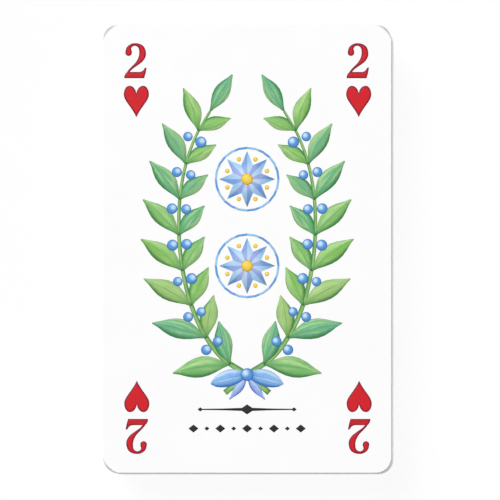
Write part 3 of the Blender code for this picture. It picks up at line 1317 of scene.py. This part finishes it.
def star_wash(add):
    """Two washes, one to each half of a point: the angle about the middle, counted in points, is in its first
    or its second half. Both darken towards the tips."""
    place = add("TexCoord").outputs
    middle = add("VectorMath", {0: place["UV"], 1: MAP_MIDDLE}, operation="SUBTRACT")
    plane = add("SeparateXYZ", {0: middle}).outputs
    angle = add("Math", {0: plane["X"], 1: plane["Y"]}, operation="ARCTAN2")
    points = add("Math", {0: angle, 1: STAR_POINTS / (2 * math.pi)}, operation="MULTIPLY")
    part = add("Math", {0: points}, operation="FRACT")
    second_half = add("Math", {0: part, 1: 0.5}, operation="GREATER_THAN")
    reach = add("VectorMath", {0: middle}, operation="LENGTH")
    wash = add("TexNoise", {"Vector": place["Object"], **WASH})
    outward = add("Math", {0: reach, 1: TIP_PULL, 2: wash}, operation="MULTIPLY_ADD")
    tip = add("MapRange", {"Value": outward, **TIP_SHADE})
    light = add("Mix", {"Factor": tip, "A": BLUE_PALE, "B": BLUE_LIGHT}, data_type="RGBA")
    dark = add("Mix", {"Factor": tip, "A": VIOLET, "B": BLUE_MIDDLE}, data_type="RGBA")
    blue = add("Mix", {"Factor": second_half, "A": light, "B": dark}, data_type="RGBA")
    return {"Base Color": blue}


inks["star"] = new_finish("watercolour_blue_star", INK_SOCKETS, star_wash)
print("inks so far:", ", ".join(inks))

# %% [markdown]
# ## Watercolour berries and eyes
#
# A berry is lit from the upper left and has a dark rim, and the eye of a star is warm yellow with an orange
# rim. Both are flat spots, which no lamp can make look round. So the wash paints light and shade on them, by
# the distance from a lit place and from the middle.

# %% Berry and eye washes
BERRY_BLUES = (BLUE_PALE, BLUE_MIDDLE, "#3C78CF")  # lit, body and rim
EYE_YELLOWS = ("#F8D857", "#F8D857", "#E39A35")
SPOT_LIT_AT = (0.36, 0.64, 0.0)
SPOT_SHADE = {"From Min": 0.06, "From Max": 0.4}
SPOT_RIM = {"From Min": 0.36, "From Max": 0.5}


def spot_wash(add, lit, body, rim):
    """A round spot: lit colour about a point up and left of its middle, body round it, rim at its edge."""
    flat = add("TexCoord").outputs["UV"]
    from_light = add("VectorMath", {0: flat, 1: SPOT_LIT_AT}, operation="DISTANCE")
    shaded = add("MapRange", {"Value": from_light, **SPOT_SHADE}, interpolation_type="SMOOTHSTEP")
    rounded = add("Mix", {"Factor": shaded, "A": lit, "B": body}, data_type="RGBA")
    reach = add("VectorMath", {0: flat, 1: MAP_MIDDLE}, operation="DISTANCE")
    at_rim = add("MapRange", {"Value": reach, **SPOT_RIM}, interpolation_type="SMOOTHSTEP")
    rimmed = add("Mix", {"Factor": at_rim, "A": rounded, "B": rim}, data_type="RGBA")
    return {"Base Color": rimmed}


inks["berry"] = new_finish("watercolour_blue_berry", INK_SOCKETS, spot_wash, *BERRY_BLUES)
inks["ochre"] = new_finish("watercolour_yellow_eye", INK_SOCKETS, spot_wash, *EYE_YELLOWS)
print("inks so far:", ", ".join(inks))

# %% [markdown]
# ## The lattice on the back
#
# The back is a blue ground with a white lattice and a dot in each diamond. The panel is mapped in
# millimetres, so the lattice is two sets of slanting lines: the sum and the difference of the two map
# directions, in steps. Where a point lies between the lines of both sets tells line, dot and ground apart.

# %% Back ink
LATTICE_MM = 4.2  # from one line to the next, along an edge of the card
BACK_GROUND = "#3B6FB6"
BACK_SHADE = "#335F9F"
BACK_LINE = "#EEF3F8"
LINE_SHARE = 0.08  # half a line's width, as a share of that step
DOT_SHARE = 0.11  # a dot's radius, as a share of it
DIAMOND_MIDDLE = (0.5, 0.5, 0.0)  # half a step from the lines of both sets


def back_ink(add):
    """White where a slanting line is near or where a diamond's middle is near, and blue elsewhere."""
    place = add("TexCoord").outputs
    plane = add("SeparateXYZ", {0: place["UV"]}).outputs
    nearest = []
    for sign in (1, -1):
        slope = add("Math", {0: plane["Y"], 1: sign, 2: plane["X"]}, operation="MULTIPLY_ADD")
        step = add("Math", {0: slope, 1: LATTICE_MM}, operation="DIVIDE")
        part = add("Math", {0: step}, operation="FRACT")
        offset = add("Math", {0: part, 1: 0.5}, operation="SUBTRACT")
        nearest.append(add("Math", {0: offset}, operation="ABSOLUTE"))
    nearer = add("Math", {0: nearest[0], 1: nearest[1]}, operation="MINIMUM")
    on_line = add("Math", {0: nearer, 1: LINE_SHARE}, operation="LESS_THAN")
    both = add("CombineXYZ", {0: nearest[0], 1: nearest[1]})
    to_middle = add("VectorMath", {0: both, 1: DIAMOND_MIDDLE}, operation="DISTANCE")
    on_dot = add("Math", {0: to_middle, 1: DOT_SHARE}, operation="LESS_THAN")
    is_white = add("Math", {0: on_line, 1: on_dot}, operation="MAXIMUM")
    clouds = add("TexNoise", {"Vector": place["Object"], **CLOUDS})
    ground = add("Mix", {"Factor": clouds, "A": BACK_GROUND, "B": BACK_SHADE}, data_type="RGBA")
    printed = add("Mix", {"Factor": is_white, "A": ground, "B": BACK_LINE}, data_type="RGBA")
    return {"Base Color": printed}


inks["back"] = new_finish("blue_offset_back", INK_SOCKETS, back_ink)
print("all inks:", ", ".join(inks))

# %% [markdown]
# ## Print every card
#
# All patches of one card are joined into one mesh, turned and moved to where that card lies, and made to ride
# on that card. They could be objects of their own, but a print is one thing, and 54 meshes are lighter than
# thousands. The mesh keeps its place in its own points, with its object at the origin, as the cards' own do.


# %% Make the prints
def print_mesh(name, patches):
    """One mesh from many patches: their points end to end, and their faces counted on to match."""
    middle, turn = places[name]
    points = turned(np.concatenate([patch.points for patch in patches]) * MM, turn) + middle
    starts = np.cumsum([0, *(len(patch.points) for patch in patches)])
    used = sorted({patch.ink for patch in patches})
    groups = [(face + at, patch.ink) for patch, at in zip(patches, starts) for face in patch.faces]
    corners = np.concatenate([face.ravel() for face, _ in groups]).astype(np.int32)
    sides = np.concatenate([np.full(len(face), face.shape[1]) for face, _ in groups])
    inked = np.concatenate([np.full(len(face), used.index(ink)) for face, ink in groups])
    mesh = bpy.data.meshes.new(f"{name}_print")
    mesh.vertices.add(len(points))
    mesh.vertices.foreach_set("co", points.astype(np.float32).ravel())
    mesh.loops.add(len(corners))
    mesh.loops.foreach_set("vertex_index", corners)
    mesh.polygons.add(len(sides))
    mesh.polygons.foreach_set("loop_start", np.concatenate([[0], np.cumsum(sides)[:-1]]).astype(np.int32))
    mesh.polygons.foreach_set("material_index", inked.astype(np.int32))
    flat_map = np.concatenate([patch.uv for patch in patches])[corners]
    mesh.uv_layers.new(name="print").data.foreach_set("uv", flat_map.astype(np.float32).ravel())
    tones = np.concatenate([patch.tone for patch in patches])
    mesh.attributes.new("tone", "FLOAT", "POINT").data.foreach_set("value", tones.astype(np.float32))
    for ink in used:
        mesh.materials.append(inks[ink])
    mesh.update(calc_edges=True)
    return mesh


def print_card(name):
    """Both sides of one card as one piece that rides on it."""
    patches = [*index_patches(name), *wreath, *face_stars(name), *rules, back]
    # only the top card carries the painted shade along its corners
    if name == top_card:
        patches += shade_slivers
    piece = bpy.data.objects.new(f"{name}_print", print_mesh(name, patches))
    bpy.context.scene.collection.objects.link(piece)
    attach(piece, name)
    return len(piece.data.polygons)


face_counts = [print_card(name) for name in cards]
print(f"prints: {len(face_counts)}, {max(face_counts)} faces at most, {sum(face_counts)} in all")

# %% [markdown]
# ## Floor
#
# A plain white table top. More light would make it white, but would bleach the cards as well. So it is a
# matt white under a strong even glow, which makes the picture's ground white while the deck's shadow still
# shows on it. The glow reaches the camera, reflections and views through glass, and nothing else.

# %% Floor
FLOOR_DROP = 0.02 * MM  # clear of the ink under the bottom card
FLOOR_HALF = 2.5  # metres
FLOOR_WHITE = "#FCFCFC"
FLOOR_GLOW = 0.92


def seen_directly(add):
    """A node that is 1 where the camera, a reflection or glass looks, and 0 for all other light."""
    path = add("LightPath").outputs
    mirrored = add("Math", {0: path["Is Camera Ray"], 1: path["Is Glossy Ray"]}, operation="MAXIMUM")
    return add("Math", {0: mirrored, 1: path["Is Transmission Ray"]}, operation="MAXIMUM")


def floor_white():
    """Matt white, mixed with a plain white glow that only direct views and reflections see."""
    material = bpy.data.materials.new("matt_white_table")
    material.use_nodes = True
    material.node_tree.nodes.clear()
    add = partial(add_node, material.node_tree)
    share = add("Math", {0: seen_directly(add), 1: FLOOR_GLOW}, operation="MULTIPLY")
    matt = add("BsdfDiffuse", {"Color": FLOOR_WHITE})
    glow = add("Emission", {"Strength": 1.0})
    add("OutputMaterial", {"Surface": add("MixShader", {0: share, 1: matt, 2: glow})})
    return material


floor_mesh = bpy.data.meshes.new("floor")
floor_z = bottom_z - FLOOR_DROP
floor_corners = [(x * FLOOR_HALF, y * FLOOR_HALF, floor_z) for x, y in ((-1, -1), (1, -1), (1, 1), (-1, 1))]
floor_mesh.from_pydata(floor_corners, [], [(0, 1, 2, 3)])
floor_mesh.materials.append(floor_white())
floor = bpy.data.objects.new("floor", floor_mesh)
bpy.context.scene.collection.objects.link(floor)
floor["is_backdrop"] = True
print(f"floor at {floor_z / MM:.3f} mm")

# %% [markdown]
# ## Light
#
# One broad soft key comes from the upper left. Alone it would leave the far edges of the deck dark, so a low
# lamp from the lower right lights those. It leaves no glare, which would wash out the print from there.
# The white room fills in the rest. All together come to about one on a surface that faces up, so that a
# colour renders about as it is written.

# %% Lamps and room
KEY_FROM = Vector((-0.42, 0.6, 1.0))
KEY_STRENGTH = 2.56
LOW_FROM = Vector((1.0, -1.0, 0.3))
LOW_STRENGTH = 1.1
LAMP_SPREAD = math.radians(28)
FILL = 0.27


def sun_lamp(name, shines_from, strength, glare=True):
    """A sun with a wide disc, which shines from that direction and may leave no glare. Returns its light on a
    level surface: its strength times the cosine of its slant, over pi."""
    lamp = bpy.data.lights.new(name, "SUN")
    lamp.energy = strength
    lamp.angle = LAMP_SPREAD
    sun = bpy.data.objects.new(name, lamp)
    sun.visible_glossy = glare
    sun.rotation_euler = shines_from.to_track_quat("Z", "Y").to_euler()
    bpy.context.scene.collection.objects.link(sun)
    return strength * shines_from.normalized().z / math.pi


def white_room():
    """White to direct views and reflections, and a dimmer white as light."""
    world = bpy.data.worlds.new("white_room")
    world.use_nodes = True
    add = partial(add_node, world.node_tree)
    strength = add("MapRange", {"Value": seen_directly(add), "To Min": FILL, "To Max": 1.0})
    plug(world.node_tree.nodes["Background"], {"Color": "#FFFFFF", "Strength": strength})
    bpy.context.scene.world = world


level_light = sun_lamp("key", KEY_FROM, KEY_STRENGTH) + FILL
level_light += sun_lamp("low", LOW_FROM, LOW_STRENGTH, glare=False)
white_room()
bpy.context.scene.view_settings.view_transform = "Standard"
print(f"light on a level surface: {level_light:.3f}")

# %% [markdown]
# ## Camera
#
# The picture looks straight down on the top card. A camera without perspective would show no sides at all; a
# long lens shows almost none and is what a photographer would use. The frame is ten millimetres longer than
# the card, and the card stands a hair to the left of its middle.

# %% Camera
LENS = 135.0
SENSOR = 36.0
FRAME_MM = 99.25
CARD_IN_FRAME = (-0.57, 0.26)  # millimetres from the middle of the picture to the middle of the card

lens = bpy.data.cameras.new("photo_camera")
lens.lens = LENS
lens.sensor_width = SENSOR
camera = bpy.data.objects.new("photo_camera", lens)
face_middle, _ = places[top_card]
distance = FRAME_MM * MM * LENS / SENSOR
camera.location = face_middle + np.array([-CARD_IN_FRAME[0] * MM, -CARD_IN_FRAME[1] * MM, distance])
bpy.context.scene.collection.objects.link(camera)
bpy.context.scene.camera = camera
print(f"camera {distance:.3f} m above the top card")

# %% [markdown]
# ## Sizes
#
# Ink adds nothing to the deck but its own thickness, about a hundredth of a millimetre. So the box of the
# bare cards and the box with the prints on are set side by side, and the last line prints how far the prints
# move the box's corners.

# %% Sizes and finish
sizes = {"cad": [list(corner) for corner in cad_box], "visual": [list(corner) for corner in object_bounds()]}
growth = np.subtract(sizes["visual"], sizes["cad"]) / MM
print("how far the prints move the box's corners, in mm:", growth.round(3).tolist())
